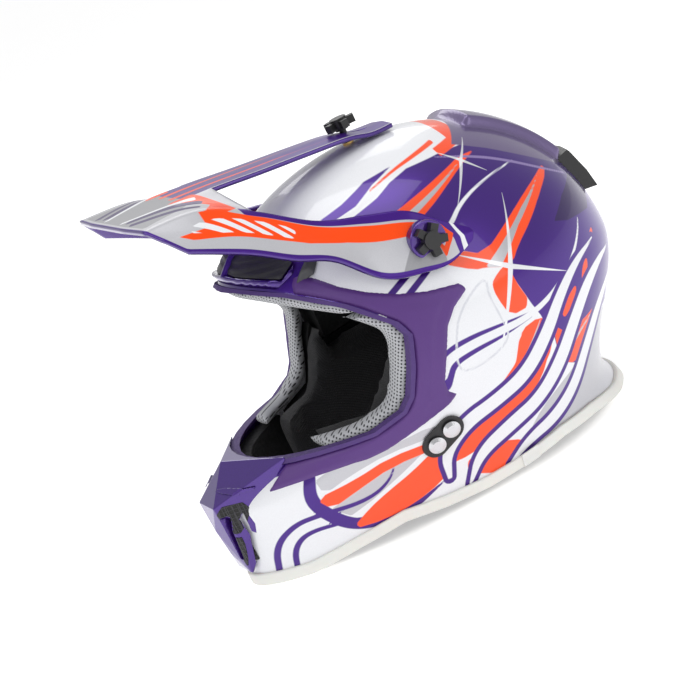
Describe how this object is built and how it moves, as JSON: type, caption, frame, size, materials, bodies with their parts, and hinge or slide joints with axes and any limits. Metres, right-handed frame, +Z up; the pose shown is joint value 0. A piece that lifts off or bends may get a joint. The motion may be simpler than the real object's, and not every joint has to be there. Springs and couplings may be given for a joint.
{
  "type": "motocross helmet",
  "caption": "Full-face off-road helmet with long chin bar, wide eye port and a tall adjustable peak held by thumbscrews.",
  "frame": {"origin": "centre of the footprint of the whole helmet, on the surface it stands on", "axes": "-Y the way the face looks, +X the wearer's left, +Z up"},
  "size_m": [0.2446, 0.355, 0.268],
  "materials": {
    "shell_paint": "gloss metallic paint in purple, white, orange and silver",
    "matte_purple": "satin",
    "purple_rubber": "matte",
    "white_rubber": "matte",
    "gloss_purple": "gloss",
    "black_plastic": "satin",
    "dark_grey_plastic": "satin",
    "foam": "matte foam",
    "black_fabric": "brushed",
    "grey_mesh": "open mesh",
    "webbing": "woven",
    "chrome": "polished",
    "steel": "brushed",
    "brass": "satin",
    "peak_plastic": "gloss metallic paint in silver, orange and purple"
  },
  "bodies": {
    "helmet": {"outer_shell": "shell_paint", "eyeport_trim": "matte_purple", "eyeport_gasket": "purple_rubber", "rim_trim": "white_rubber", "rim_joiners": "white_rubber", "chin_vent_cover": "gloss_purple", "chin_vent_mesh": "black_plastic", "chin_bar_liner": "foam", "brow_vent_cover": "gloss_purple", "brow_vent_louvres": "black_plastic", "brow_vent_winglets": "dark_grey_plastic", "rear_vents": "black_plastic", "eps_liner": "foam", "crown_pad": "black_fabric", "brow_roll": "grey_mesh", "cheek_roll_left": "grey_mesh", "cheek_roll_right": "grey_mesh", "cheek_core_left": "foam", "cheek_core_right": "foam", "cheek_pad_left": "black_fabric", "cheek_pad_right": "black_fabric", "neck_roll": "black_fabric", "pad_snaps": "black_plastic", "rivet_plates": "black_plastic", "strap_rivets": "chrome", "strap_anchors": "steel", "strap_left": "webbing", "strap_right": "webbing", "strap_snap": "black_plastic", "peak_nuts": "brass"},
    "peak": {"peak": "peak_plastic"},
    "centre_knob": {"centre_knob": "black_plastic"},
    "side_knob_left": {"side_knob_left": "black_plastic"},
    "side_knob_right": {"side_knob_right": "black_plastic"},
    "d_ring_lower": {"d_ring_lower": "chrome"},
    "d_ring_upper": {"d_ring_upper": "chrome"}
  },
  "joints": [
    {"name": "peak_tilt", "type": "hinge", "parent": "helmet", "child": "peak", "pos_m": [0, 0.00891, 0.18], "axis": [1, 0, 0], "range_deg": [-2, 8]},
    {"name": "centre_knob_turn", "type": "hinge", "parent": "helmet", "child": "centre_knob", "pos_m": [0, 0.02891, 0.25], "axis": [0, 0, 1], "continuous": true},
    {"name": "side_knob_left_turn", "type": "hinge", "parent": "helmet", "child": "side_knob_left", "pos_m": [0.115, 0.00891, 0.18], "axis": [1, 0, 0], "continuous": true},
    {"name": "side_knob_right_turn", "type": "hinge", "parent": "helmet", "child": "side_knob_right", "pos_m": [-0.115, 0.00891, 0.18], "axis": [-1, 0, 0], "continuous": true},
    {"name": "d_ring_lower_swing", "type": "hinge", "parent": "helmet", "child": "d_ring_lower", "pos_m": [0.03, -0.03609, 0.0149], "axis": [0, 1, 0], "range_deg": [-24, 6]},
    {"name": "d_ring_upper_swing", "type": "hinge", "parent": "helmet", "child": "d_ring_upper", "pos_m": [0.03, -0.03609, 0.0191], "axis": [0, 1, 0], "range_deg": [-8, 95]}
  ]
}
